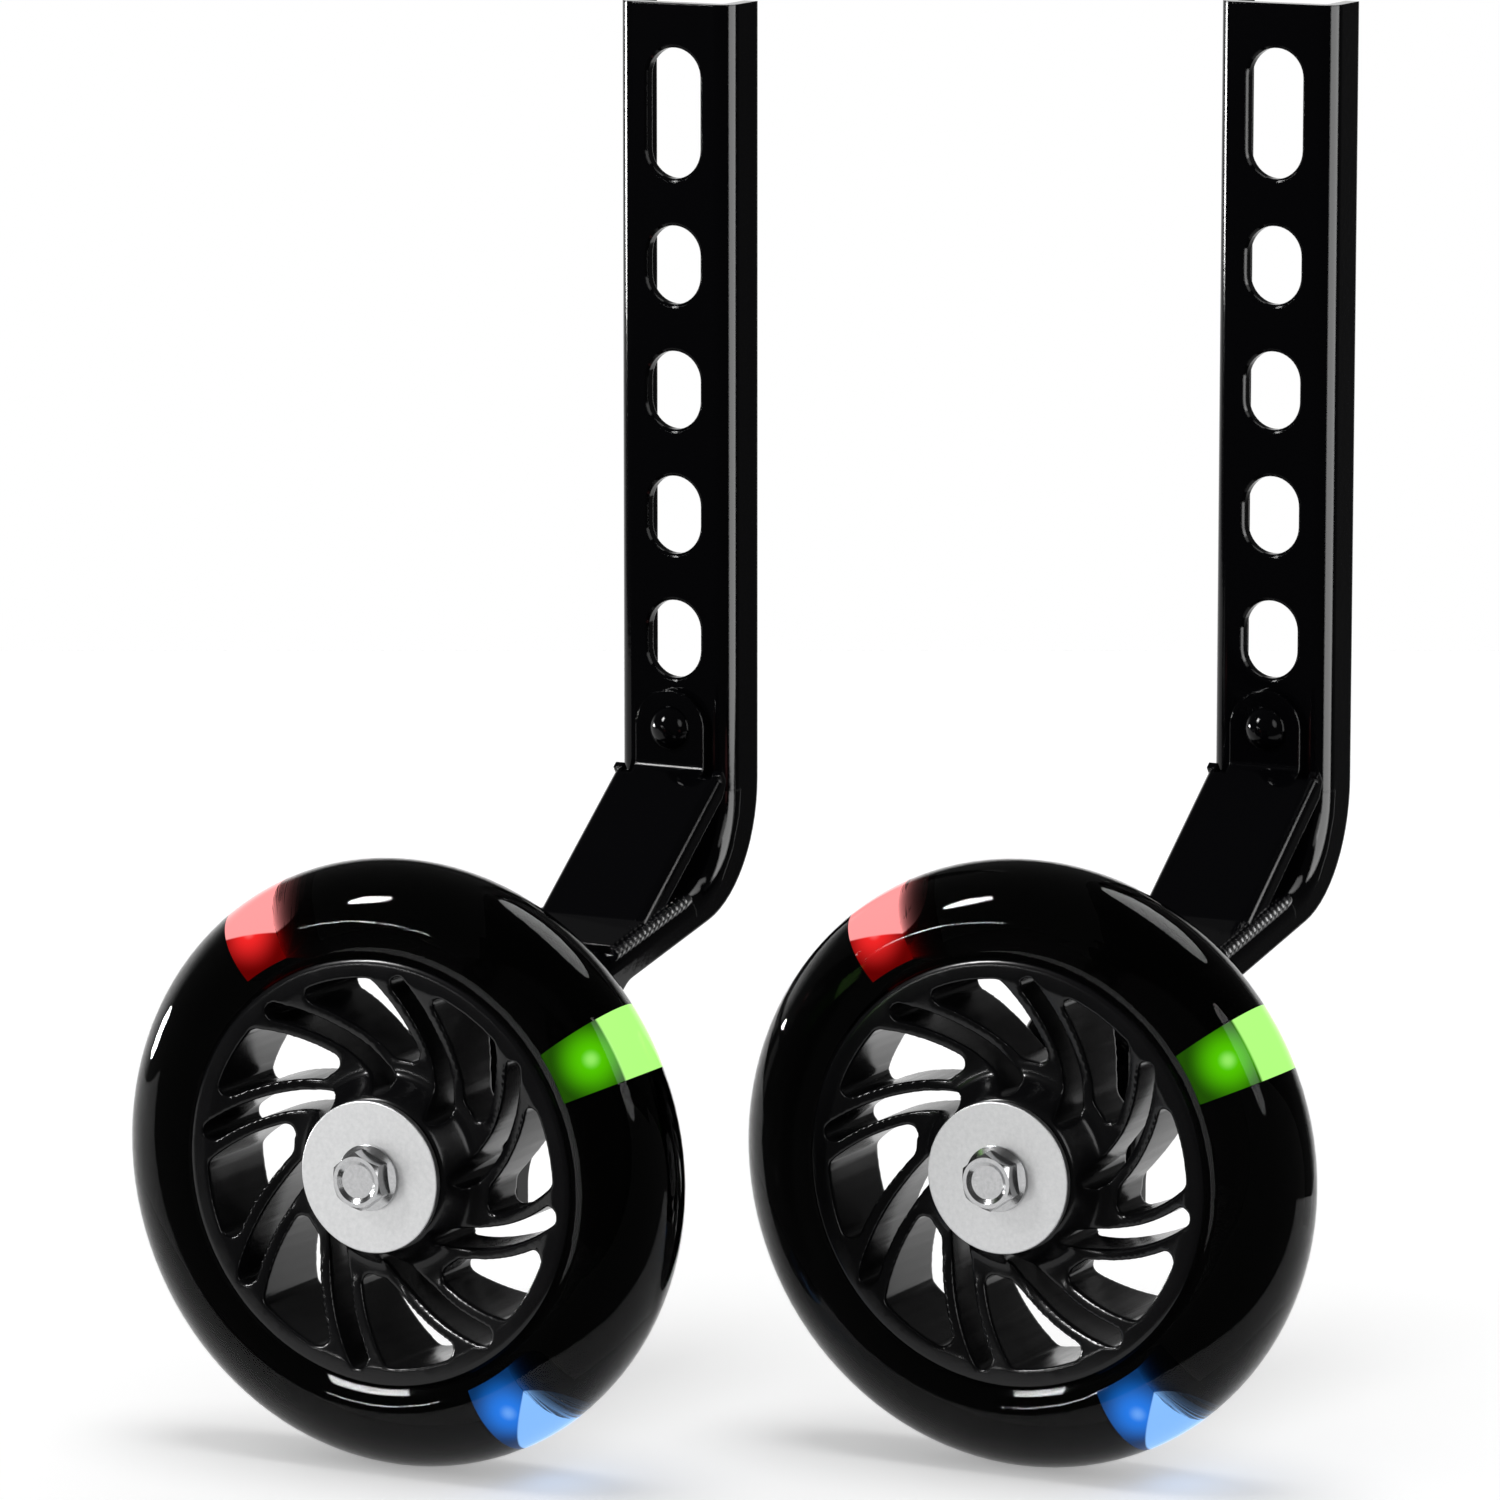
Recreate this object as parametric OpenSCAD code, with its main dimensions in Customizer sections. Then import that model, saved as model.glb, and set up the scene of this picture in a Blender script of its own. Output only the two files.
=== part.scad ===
// A pair of bicycle training wheels with light-up wheels, in millimetres.
// Each unit is a slotted steel arm that bolts to the rear axle of the bicycle,
// a riveted and welded brace in its bend, and a wheel that turns on a bolt.
// The origin is the middle of the row of short slots on the left arm, on the
// outboard face of its web. X runs across the arm, Y points towards the
// bicycle and Z is up.

/* [Pair] */
// Distance from the left unit to the right one, along X
pair_gap_x = 108; // [90:1:160]
// Distance from the left unit to the right one, along Y
pair_gap_y = 55; // [48:1:120]

/* [Arm] */
// Width of the channel over its flanges
arm_w = 26; // [22:0.5:32]
// Thickness of the steel sheet
arm_t = 3; // [2:0.25:4]
// Inside radius of the two long folds of the channel
arm_fold_r = 0.8; // [0.4:0.1:2]
// Depth of the flanges along the upright
arm_depth = 12; // [9:0.5:16]
// Depth of the flanges along the shelf
shelf_depth = 7; // [6:0.5:9]
// Depth of the flanges along the leg
leg_depth = 8; // [6:0.5:10]
// Distance from the face of the upright to the face of the leg
arm_offset = 94; // [84:1:110]
// Height of the slot row's middle above the wheel's axis
wheel_drop = 125.5; // [115:0.5:140]
// Height of the shelf's outboard corner above the wheel's axis
shelf_rise = 23.3; // [21:0.1:27]
// Fall of the shelf towards the wheel, in degrees
shelf_angle = 10.5; // [6:0.5:14]
// Radius of the upper bend, on the face of the web
arm_bend_r = 19; // [14:0.5:24]
// Radius of the upper bend, on the free edges of the flanges
edge_bend_r = 26.5; // [20:0.5:32]
// Radius of the lower bend, on the face of the web
leg_bend_r = 12; // [8:0.5:14]
// Radius that rounds the side panel's corners, where it meets shelf and leg
panel_r = 8; // [3:0.5:10]
// Length of the shelf's free edge that the side panel takes up
panel_len = 44; // [30:1:48]
// Height of the side panel's foot below the wheel's axis
panel_drop = 3.6; // [2:0.2:6]
// Length of the leg below the wheel's axis
leg_end = 14; // [12:0.5:20]

/* [Slots] */
// Width of every slot
slot_w = 12; // [10:0.5:14]
// Length of a short slot, end to end
slot_len = 16; // [14:0.5:20]
// Length of the long slot at the top, end to end
top_slot_len = 26.5; // [20:0.5:32]
// Metal between one slot and the next
slot_gap = 9.5; // [7:0.5:14]
// Metal above the long slot
top_margin = 9; // [6:0.5:16]
// Number of short slots
slot_count = 4; // [3:1:4]
// Width of the broken edge round each slot
slot_edge = 0.5; // [0.2:0.1:0.8]

/* [Brace] */
// Thickness of the brace's sheet
brace_t = 2; // [1.5:0.25:3]
// Width of the brace
brace_w = 24.6; // [20:0.2:26]
// Width of the riveted tab
tab_w = 15.6; // [14:0.2:18]
// Space between the lowest slot and the tab
tab_gap = 2.2; // [1:0.2:5]
// Distance from the rivet to the fold below it
tab_drop = 8; // [7:0.5:10]
// Distance from the upright to where the brace lands on the shelf
brace_reach = 36; // [32:0.5:42]
// Length of the foot welded to the shelf
foot_len = 14; // [10:0.5:18]
// Depth of the turned-in lips along the brace
brace_lip = 4.5; // [3.5:0.25:6]
// Inside radius of the brace's folds
brace_fold_r = 1.5; // [0.8:0.1:2.5]
// Outside radius along the brace's lips
lip_edge_r = 2.2; // [0.6:0.1:3]

/* [Rivet and welds] */
// Diameter of the rivet's shank
rivet_d = 5; // [4:0.5:6]
// Diameter of the rivet's domed head
rivet_head_d = 9; // [7:0.5:11]
// Height of the rivet's domed head
rivet_head_h = 3; // [2:0.25:4]
// Diameter of the rivet's closed end
rivet_tail_d = 8; // [6.5:0.5:10]
// Thickness of the rivet's closed end
rivet_tail_h = 1.8; // [1:0.2:3]
// Radius of a weld bead
bead_r = 1.5; // [1:0.1:2]
// Length of a weld bead
bead_len = 32; // [24:1:36]
// Distance between two ripples of a weld bead
bead_pitch = 2; // [1.5:0.1:3]

/* [Axle] */
// Diameter of the axle bolt
bolt_d = 6; // [5:0.5:6]
// Length of the axle bolt under its head
bolt_len = 45; // [44:1:52]
// Width across flats of the bolt's head and of the nuts
hex_flats = 10; // [9:0.5:11]
// Height of the bolt's head with its flange
bolt_head_h = 5; // [4:0.25:6]
// Diameter of the flange on the bolt's head
bolt_flange_d = 13; // [12:0.5:15]
// Thickness of the flange on the bolt's head
bolt_flange_t = 1.2; // [0.8:0.1:1.6]
// Angle of the first corner of the bolt's head
bolt_turn = 36.5; // [0:0.5:60]
// Diameter of the large washer
washer_d = 30; // [24:0.5:32]
// Thickness of the large washer
washer_t = 1.5; // [1:0.1:2]
// Thickness of the nut between wheel and arm
jam_nut_t = 5; // [4:0.25:6]
// Diameter of the washer behind the arm
back_washer_d = 12; // [10.5:0.5:13]
// Thickness of the washer behind the arm
back_washer_t = 1.6; // [1:0.1:2]
// Height of the lock nut
lock_nut_t = 6; // [5:0.25:7]
// Space round the bolt in every hole that it passes
bolt_play = 0.2; // [0.1:0.05:0.4]

/* [Bearings] */
// Bore of the ball bearings
bearing_bore = 8; // [8:0.5:9]
// Outside diameter of the ball bearings
bearing_d = 22; // [22:0.5:24]
// Width of a ball bearing
bearing_w = 7; // [6.5:0.25:8]
// Diameter of a ball
ball_d = 3.97; // [3.5:0.01:4]
// Number of balls in a bearing
ball_count = 7; // [6:1:7]
// Space between a ball and its grooves
ball_play = 0.05; // [0.03:0.01:0.08]
// Thickness of a bearing's shield
shield_t = 0.4; // [0.3:0.05:0.5]
// Diameter of the magnet ring between the bearings
magnet_d = 14; // [12.5:0.5:15]

/* [Wheel core] */
// Width of the hub, between the outer faces of the bearings
hub_w = 24; // [22:0.5:28]
// How far the sleeve stands proud of the hub at each side
sleeve_proud = 0.8; // [0.5:0.1:1.5]
// Diameter of the hub's faces
boss_d = 30; // [28:0.5:32]
// Width of the core's rim
rim_w = 22; // [20:0.5:24]
// Outside radius of the core's rim
rim_r = 42.5; // [41:0.5:43]
// Thickness of the core's rim at its outer edge
rim_t = 4.2; // [3.5:0.1:5]
// Height of the ridge that holds the tyre
ridge_h = 1.5; // [1:0.25:2]
// Width of the ridge that holds the tyre
ridge_w = 8; // [6:0.5:10]
// Thickness of the core at the bottom of its dish
dish_w = 11.6; // [10:0.2:14]
// Radius of the solid hub inside the openings
hub_r = 22; // [20:0.5:24]
// Number of split spokes
spoke_count = 8; // [6:1:8]
// Width of a split spoke over both ribs
spoke_w = 8.4; // [7.6:0.1:9]
// Width of the slot that splits a spoke
split_w = 3.8; // [3:0.1:4.4]
// Radius of a spoke's curve
spoke_curve_r = 40; // [36:1:48]
// Angle that a spoke trails from rim to hub
spoke_sweep = 43; // [38:1:46]
// Angle of the first spoke at the rim
spoke_turn = -5.2; // [-22:0.1:22]
// Distance from the rim's outside to the outer end of a slot
split_inset = 3.5; // [3:0.1:4.5]
// Inner end of a slot, from the axis
split_in_r = 16; // [15.5:0.1:18]
// Radius of the openings' corners
opening_r = 1.8; // [1:0.1:2]

/* [Tyre and lamps] */
// Depth of the tyre from the rim to the tread
tyre_depth = 17.5; // [15.5:0.5:20.5]
// Width of the tyre
tyre_w = 24; // [22:0.5:26]
// Space between the tyre and the ridge that holds it
tyre_play = 0.05; // [0.02:0.01:0.1]
// Thickness of the tyre under the coloured lenses, over the ridge
lens_bed = 1.3; // [1:0.1:2.5]
// Space between a lens and what lies inside it
lens_play = 0.1; // [0.05:0.05:0.2]
// Angle that a lens takes up, in degrees
lens_angle = 13; // [12:0.5:16]
// Place of the red lamp, in degrees from the X axis
red_turn = 122; // [112:1:132]
// Place of the green lamp, in degrees from the X axis
green_turn = 30; // [20:1:40]
// Place of the blue lamp, in degrees from the X axis
blue_turn = -57; // [-67:1:-47]
// Thickness of a lamp's circuit board
board_t = 1.2; // [0.8:0.1:1.6]
// Length of a lamp's circuit board, across the tyre
board_len = 14; // [12:0.5:16]
// Width of a lamp's circuit board, round the tyre
board_w = 8; // [6:0.5:8]
// Diameter of a lamp's coil
coil_d = 5; // [4:0.25:6]
// Height of a lamp's coil
coil_h = 2.5; // [2:0.25:4]
// Diameter of a light-emitting diode
led_d = 5; // [3:0.5:5]
// Height of a light-emitting diode
led_h = 5; // [4:0.5:6]

/* [Hidden] */
$fn = 64;
SIDES = ["left", "right"];
PIECES = [
    "arm", "brace", "brace_rivet", "brace_welds",
    "axle_bolt", "outer_washer", "axle_sleeve", "jam_nut", "back_washer", "lock_nut",
    "magnet_ring", "bearing_inner_rings", "bearing_outer_rings", "bearing_balls",
    "bearing_cages", "bearing_shields", "core_hub", "core_spokes", "core_rim", "tyre",
    "red_lens", "green_lens", "blue_lens", "lamp_boards", "lamp_leds"
];

// How far a cut runs past the face that it opens
over = 1;
// Step between a bend and the straight next to it
seam = 0.02;
// Angle by which a bend runs into the straight next to it
bend_lap = 0.5;
// Steps in a rounded corner of an outline
corner_steps = 5;
// Steps in the large bends of the arm's free edges
edge_steps = 14;
// Steps in a rounded corner of the core's outline
core_steps = 3;
// Steps in a full turn round an opening's corner
opening_steps = 16;
// Steps in a full turn of an opening's long arcs
arc_steps = 80;

// Slot row and top of the arm
slot_pitch = slot_len + slot_gap;
row_half = (slot_count - 1) * slot_pitch / 2;
top_slot_z = row_half + slot_len / 2 + slot_gap + top_slot_len / 2;
arm_top = top_slot_z + top_slot_len / 2 + top_margin;

// Path of the web's face in Y and Z: upright, shelf and leg, with their bends
shelf_dir = [cos(shelf_angle), sin(shelf_angle)];
shelf_in = [sin(shelf_angle), -cos(shelf_angle)];
bend_turn = 90 - shelf_angle;
upper_corner = [0, -wheel_drop + shelf_rise + arm_offset * tan(shelf_angle)];
lower_corner = [-arm_offset, -wheel_drop + shelf_rise];
upper_bend = [-arm_bend_r, upper_corner[1] + arm_bend_r * tan(bend_turn / 2)];
lower_bend = [leg_bend_r - arm_offset, lower_corner[1] - leg_bend_r * tan(bend_turn / 2)];
leg_bottom = -wheel_drop - leg_end;
shelf_len = norm(upper_corner - lower_corner)
    - (arm_bend_r + leg_bend_r) * tan(bend_turn / 2);
arm_edge_r = arm_fold_r + arm_t;

// Path of the brace's outer face in Y and Z: tab, plate and foot
rivet_z = -row_half - slot_len / 2 - tab_gap - tab_w / 2;
tab_fold = [-brace_t, rivet_z - tab_drop];
foot_fold = shelf_at(-brace_reach) - shelf_in * brace_t;
foot_tip = foot_fold - shelf_dir * foot_len;
plate_dir = unit(foot_fold - tab_fold);
plate_in = left_of(plate_dir);
plate_len = norm(foot_fold - tab_fold);

// Stack of pieces on the axle bolt, from the mid-plane of the wheel
sleeve_len = hub_w + 2 * sleeve_proud;
wheel_reach = arm_offset + jam_nut_t + sleeve_len / 2;
washer_y = -sleeve_len / 2 - washer_t;
leg_y = sleeve_len / 2 + jam_nut_t;
back_washer_y = leg_y + arm_t;
lock_nut_y = back_washer_y + back_washer_t;
bolt_hole_r = bolt_d / 2 + bolt_play;
sleeve_play = 0.03;
sleeve_r = bearing_bore / 2 - sleeve_play;
thread_play = 0.05;
rivet_play = 0.1;
flange_edge_r = 0.15;
dent_share = 0.42;
dent_depth_share = 0.15;
dent_floor_share = 0.8;
collar_share = 0.44;
collar_h_share = 0.25;
ripple_lap_share = 1.3;
ripple_end_share = 0.8;

// Bearings
bearing_y = hub_w / 2 - bearing_w;
pitch_r = (bearing_bore + bearing_d) / 4;
ball_r = ball_d / 2;
groove_r = ball_r + ball_play;
land_share = 0.36;
land = land_share * ball_d;
inner_land_r = pitch_r - land;
outer_land_r = pitch_r + land;
cage_h = groove_r + shield_t;
cage_share = 0.15;
cage_half = cage_share * ball_d;
cage_play = 0.15;
shield_share = 0.06;
shield_in = shield_share * bearing_w;
shield_play = 0.15;
pocket_play = 0.02;
magnet_play = 0.1;
magnet_collar_share = 0.25;

// Core and tyre
rim_in_r = rim_r - rim_t;
// How much of an opening's rounded corners belongs to the hub and to the rim
corner_share = 0.55;
hub_end_r = hub_r + corner_share * opening_r;
rim_end_r = rim_in_r - corner_share * opening_r;
ridge_r = rim_r + ridge_h;
split_out_r = rim_r - split_inset;
tyre_r = rim_r + tyre_depth;
lens_in_r = ridge_r + lens_bed;
crown_r = tyre_w / 2;
split_end = split_w / 2;
far_r = tyre_r + over;
boss_slope = 4;
dish_r = 12;
rim_edge_r = 1.2;
shoulder_w = 2.5;
shoulder_in_r = bearing_d / 2 - shoulder_w;

function unit(v) = v / norm(v);
function left_of(v) = [-v[1], v[0]];
function polar(r, a) = r * [cos(a), sin(a)];
function mid(a, b) = (a + b) / 2;

// A point on the shelf's upper face, at a given Y
function shelf_at(y) = [y, upper_corner[1] + y * tan(shelf_angle)];

// The points of the arc that rounds corner b, between a and c, with radius r
function corner(a, b, c, r, steps) =
    let (
        u = unit(a - b),
        v = unit(c - b),
        half = acos(u * v) / 2,
        centre = b + unit(u + v) * r / sin(half),
        start = b + u * r / tan(half) - centre,
        end = b + v * r / tan(half) - centre,
        first = atan2(start[1], start[0]),
        sweep = (atan2(end[1], end[0]) - first + 540) % 360 - 180
    )
    [for (i = [0:steps]) centre + polar(r, first + sweep * i / steps)];

// An outline with each corner rounded by its own radius, zero for a sharp one
function rounded(points, radii, steps = corner_steps) =
    let (n = len(points))
    [
        for (i = [0:n - 1])
            each radii[i] == 0
                ? [points[i]]
                : corner(points[(i + n - 1) % n], points[i], points[(i + 1) % n], radii[i], steps)
    ];

// A path of three stretches moved to its left by d
function moved(path, d) =
    let (n = [for (i = [0:2]) left_of(unit(path[i + 1] - path[i]))])
    [
        path[0] + n[0] * d,
        path[1] + (n[0] + n[1]) * d / (1 + n[0] * n[1]),
        path[2] + (n[1] + n[2]) * d / (1 + n[1] * n[2]),
        path[3] + n[2] * d
    ];

// Turns a drawing made in Y and Z into a slab of width w across X
module side_slab(w) {
    rotate([90, 0, 90]) linear_extrude(w, center = true) children();
}

// Turns a drawing made in X and Z into a slab of width w along Y
module front_slab(w) {
    rotate([90, 0, 0]) linear_extrude(w, center = true) children();
}

// Turns a drawing of radius and width about the Y axis
module spin() {
    rotate([-90, 0, 0]) rotate_extrude() children();
}

// Moves what is drawn about the wheel's centre to its place on the unit
module at_wheel() {
    translate([0, -wheel_reach, -wheel_drop]) children();
}

// A ring about the Y axis, from y upwards
module ring(r_in, r_out, y, w) {
    spin() translate([r_in, y]) square([r_out - r_in, w]);
}

// A hexagonal prism about the Y axis with its end corners taken off, from y upwards
module hexagon(h, y) {
    corner_r = hex_flats / 2 / cos(30);
    bevel = corner_r - hex_flats / 2;
    intersection() {
        translate([0, y, 0]) rotate([-90, 0, 0]) cylinder(h = h, r = corner_r, $fn = 6);
        spin() translate([0, y]) polygon([
            [0, 0], [hex_flats / 2, 0], [corner_r, bevel],
            [corner_r, h - bevel], [hex_flats / 2, h], [0, h]
        ]);
    }
}

// Cross-section of the channel's outside: X is depth, Y is across the arm
module section(w, depth, r) {
    translate([0, r - w / 2]) square([depth, w - 2 * r]);
    translate([r, -w / 2]) square([depth - r, w]);
    for (s = [-1, 1]) translate([r, s * (w / 2 - r)]) circle(r);
}

// The channel's outside, or with its face moved in by d its inside, past the free edges:
// bands along the web's path behind its face, and a slab that fills all behind them
module swept(w, d, r) {
    front = d + r + over;
    band = r + 2 * over;
    path = moved([[0, arm_top + over], upper_corner, lower_corner, [-arm_offset, leg_bottom - over]], front);
    side_slab(w) polygon(rounded(
        [each path, [arm_depth + over, leg_bottom - over], [arm_depth + over, arm_top + over]],
        [0, arm_bend_r + front + 2 * over, leg_bend_r - front - 2 * over, 0, 0, 0]
    ));
    translate([0, d, upper_bend[1]])
        linear_extrude(arm_top + over - upper_bend[1])
            rotate(90) section(w, band, r);
    translate([0, upper_bend[0], upper_bend[1]]) rotate([90, 0, 90])
        rotate(-bend_turn - bend_lap) rotate_extrude(angle = bend_turn + 2 * bend_lap)
            translate([arm_bend_r + d + seam, 0]) section(w - 2 * seam, band, r);
    translate([0, lower_bend[0], lower_bend[1]])
        rotate([-bend_turn, 0, 0]) translate([0, d - leg_bend_r, 0])
            linear_extrude(shelf_len) rotate(90) section(w, band, r);
    translate([0, lower_bend[0], lower_bend[1]]) rotate([90, 0, 90])
        rotate(90 + shelf_angle - bend_lap) rotate_extrude(angle = bend_turn + 2 * bend_lap)
            translate([leg_bend_r - d - seam, 0]) mirror([1, 0]) section(w - 2 * seam, band, r);
    translate([0, d - arm_offset, leg_bottom - over])
        linear_extrude(lower_bend[1] - leg_bottom + over)
            rotate(90) section(w, band, r);
}

// Side view of the whole arm: free edges, side panel and both ends
module arm_outline() {
    free_corner = shelf_at(arm_depth) + [0, -shelf_depth / cos(shelf_angle)];
    panel_top = shelf_at(-panel_len) + [0, -shelf_depth / cos(shelf_angle)];
    panel_foot = [leg_depth - arm_offset, -wheel_drop - panel_drop];
    polygon(rounded([
        [arm_depth, arm_top], free_corner, panel_top, panel_foot,
        [leg_depth - arm_offset, leg_bottom], [-arm_offset - over, leg_bottom],
        [-arm_offset - over, arm_top]
    ], [0, edge_bend_r, panel_r, panel_r, 0, 0, 0], edge_steps));
}

// A round-ended slot through the web, with its edges broken on both faces
module slot(length) {
    r = slot_w / 2;
    half = length / 2 - r;
    for (s = [-1, 1]) translate([0, 0, s * half]) spin() polygon([
        [0, -over], [r + slot_edge, -over], [r + slot_edge, 0], [r, slot_edge],
        [r, arm_t - slot_edge], [r + slot_edge, arm_t], [r + slot_edge, arm_t + over],
        [0, arm_t + over]
    ]);
    linear_extrude(2 * half, center = true) polygon([
        [-r - slot_edge, -over], [-r - slot_edge, 0], [-r, slot_edge],
        [-r, arm_t - slot_edge], [-r - slot_edge, arm_t], [-r - slot_edge, arm_t + over],
        [r + slot_edge, arm_t + over], [r + slot_edge, arm_t], [r, arm_t - slot_edge],
        [r, slot_edge], [r + slot_edge, 0], [r + slot_edge, -over]
    ]);
}

module arm() {
    color("#0b0b0c") difference() {
        intersection() {
            swept(arm_w, 0, arm_edge_r);
            side_slab(arm_w + over) arm_outline();
        }
        swept(arm_w - 2 * arm_t, arm_t, arm_fold_r);
        for (i = [0:slot_count - 1])
            translate([0, 0, i * slot_pitch - row_half]) slot(slot_len);
        translate([0, 0, top_slot_z]) slot(top_slot_len);
        translate([0, 0, rivet_z]) ring(0, rivet_d / 2 + rivet_play, -over, arm_t + 2 * over);
        at_wheel() ring(0, bolt_hole_r, leg_y - over, arm_t + 2 * over);
    }
}

// Side view of the brace's folded sheet
module brace_sheet() {
    outer = [[-brace_t, rivet_z + tab_w], tab_fold, foot_fold, foot_tip];
    inner = moved(outer, brace_t);
    polygon(rounded(
        [each outer, inner[3], inner[2], inner[1], inner[0]],
        [0, brace_fold_r, brace_fold_r, 0, 0, brace_fold_r + brace_t, brace_fold_r + brace_t, 0]
    ));
}

// Front view of the brace: a round tab above a plate of full width
module brace_front() {
    translate([0, rivet_z]) circle(tab_w / 2);
    translate([-tab_w / 2, rivet_z - tab_drop - brace_t]) square([tab_w, tab_drop + brace_t]);
    polygon(rounded([
        [-brace_w / 2, rivet_z - tab_drop - brace_fold_r],
        [brace_w / 2, rivet_z - tab_drop - brace_fold_r],
        [brace_w / 2, leg_bottom], [-brace_w / 2, leg_bottom]
    ], [lip_edge_r, lip_edge_r, 0, 0]));
}

// Side view of a lip: it ends on the upright and on the shelf
module lip_outline() {
    reach = plate_len + arm_bend_r;
    intersection() {
        translate(tab_fold) rotate(atan2(plate_dir[1], plate_dir[0]))
            square([plate_len, brace_lip]);
        polygon([
            [-brace_reach, arm_top], [0, arm_top], [0, upper_corner[1] + arm_bend_r],
            shelf_at(-arm_bend_r / 2), shelf_at(-brace_reach - reach)
        ]);
    }
}

// What rounds the long outer edges of the brace's plate
module lip_edges() {
    for (s = [0, 1]) mirror([s, 0, 0])
        translate([0, foot_fold[0], foot_fold[1]])
            rotate([atan2(-plate_dir[1], -plate_dir[0]) - 90, 0, 0])
                linear_extrude(plate_len - brace_fold_r) difference() {
                    translate([brace_w / 2 - lip_edge_r, -over])
                        square([lip_edge_r + over, lip_edge_r + over]);
                    translate([brace_w / 2 - lip_edge_r, lip_edge_r]) circle(lip_edge_r);
                }
}

module brace_body() {
    intersection() {
        side_slab(brace_w) brace_sheet();
        translate([0, -brace_reach, 0]) front_slab(4 * brace_reach) brace_front();
    }
    for (s = [-1, 1]) translate([s * (brace_w - brace_t) / 2, 0, 0])
        side_slab(brace_t) lip_outline();
}

module brace() {
    color("#101012") difference() {
        brace_body();
        lip_edges();
        translate([0, 0, rivet_z])
            ring(0, rivet_d / 2 + rivet_play, -brace_t - over, brace_t + 2 * over);
    }
}

module brace_rivet() {
    dome_r = (pow(rivet_head_d / 2, 2) + pow(rivet_head_h, 2)) / (2 * rivet_head_h);
    color("#18181a") translate([0, 0, rivet_z]) {
        intersection() {
            translate([0, -brace_t - rivet_head_h + dome_r, 0]) sphere(dome_r);
            ring(0, rivet_head_d, -brace_t - rivet_head_h, rivet_head_h);
        }
        ring(0, rivet_d / 2, -brace_t, brace_t + arm_t);
        spin() polygon(rounded([
            [0, arm_t], [rivet_tail_d / 2, arm_t],
            [rivet_tail_d / 2, arm_t + rivet_tail_h], [0, arm_t + rivet_tail_h]
        ], [0, 0, rivet_tail_h / 2, 0]));
    }
}

// A bead of overlapping ripples in the corner between foot and shelf, at each side
module brace_welds() {
    ripples = floor(bead_len / bead_pitch);
    ripple = ripple_lap_share * bead_pitch;
    bead_end = foot_tip + shelf_in * brace_t;
    color("#1d1d20") difference() {
        for (s = [-1, 1], i = [0:ripples - 1])
            translate([s * brace_w / 2, bead_end[0], bead_end[1]])
                rotate([-bend_turn, 0, 0])
                    translate([0, 0, i * bead_pitch])
                        cylinder(h = ripple, r1 = bead_r, r2 = ripple_end_share * bead_r);
        swept(arm_w, 0, arm_edge_r);
        brace_body();
    }
}

module axle_bolt() {
    dent_r = dent_share * hex_flats;
    dent_depth = dent_depth_share * (bolt_head_h - bolt_flange_t);
    color("#c9cbce") at_wheel() {
        rotate([0, -bolt_turn, 0]) difference() {
            union() {
                hexagon(bolt_head_h, washer_y - bolt_head_h);
                spin() translate([0, washer_y]) polygon(rounded([
                    [0, 0], [bolt_flange_d / 2, 0],
                    [bolt_flange_d / 2, -bolt_flange_t / 2],
                    [hex_flats / 2, -bolt_flange_t], [0, -bolt_flange_t]
                ], [0, flange_edge_r, flange_edge_r, 0, 0]));
            }
            spin() translate([0, washer_y - bolt_head_h]) polygon([
                [0, -over], [dent_r, -over], [dent_r, 0], [dent_floor_share * dent_r, dent_depth],
                [0, dent_depth]
            ]);
        }
        ring(0, bolt_d / 2, washer_y - bolt_flange_t, bolt_flange_t + bolt_len);
    }
}

module outer_washer() {
    edge = washer_t / 5;
    color("#d2d3d4") at_wheel() spin() translate([0, washer_y]) polygon(rounded([
        [bolt_hole_r, 0], [washer_d / 2, 0], [washer_d / 2, washer_t], [bolt_hole_r, washer_t]
    ], [0, edge, edge, 0]));
}

module axle_sleeve() {
    color("#b9bbbe") at_wheel() ring(bolt_hole_r, sleeve_r, -sleeve_len / 2, sleeve_len);
}

module jam_nut() {
    color("#c4c6c9") at_wheel() difference() {
        hexagon(jam_nut_t, sleeve_len / 2);
        ring(0, bolt_d / 2 + thread_play, sleeve_len / 2 - over, jam_nut_t + 2 * over);
    }
}

module back_washer() {
    color("#c4c6c9") at_wheel() ring(bolt_hole_r, back_washer_d / 2, back_washer_y, back_washer_t);
}

// A hexagonal nut with a turned-in collar that holds its locking ring
module lock_nut() {
    collar_r = collar_share * hex_flats;
    collar_h = collar_h_share * lock_nut_t;
    color("#c4c6c9") at_wheel() difference() {
        union() {
            hexagon(lock_nut_t - collar_h, lock_nut_y);
            spin() polygon(rounded([
                [0, lock_nut_y], [collar_r, lock_nut_y], [collar_r, lock_nut_y + lock_nut_t],
                [0, lock_nut_y + lock_nut_t]
            ], [0, 0, collar_h, 0]));
        }
        ring(0, bolt_d / 2 + thread_play, lock_nut_y - over, lock_nut_t + 2 * over);
    }
}

// The ring of magnets on the sleeve, with collars that space the bearings
module magnet_ring() {
    half = bearing_y;
    collar_r = inner_land_r - magnet_play;
    collar_h = magnet_collar_share * half;
    color("#6d6f73") at_wheel() spin() polygon([
        [bearing_bore / 2, -half], [collar_r, -half], [collar_r, collar_h - half],
        [magnet_d / 2, collar_h - half], [magnet_d / 2, half - collar_h],
        [collar_r, half - collar_h], [collar_r, half], [bearing_bore / 2, half]
    ]);
}

// Draws a bearing's pieces at both ends of the hub, outer face outwards
module both_bearings() {
    for (s = [0, 1]) mirror([0, s, 0]) translate([0, bearing_y, 0]) children();
}

module bearing_ring(r_in, r_out) {
    difference() {
        ring(r_in, r_out, 0, bearing_w);
        spin() translate([pitch_r, bearing_w / 2]) circle(groove_r);
    }
}

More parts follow.
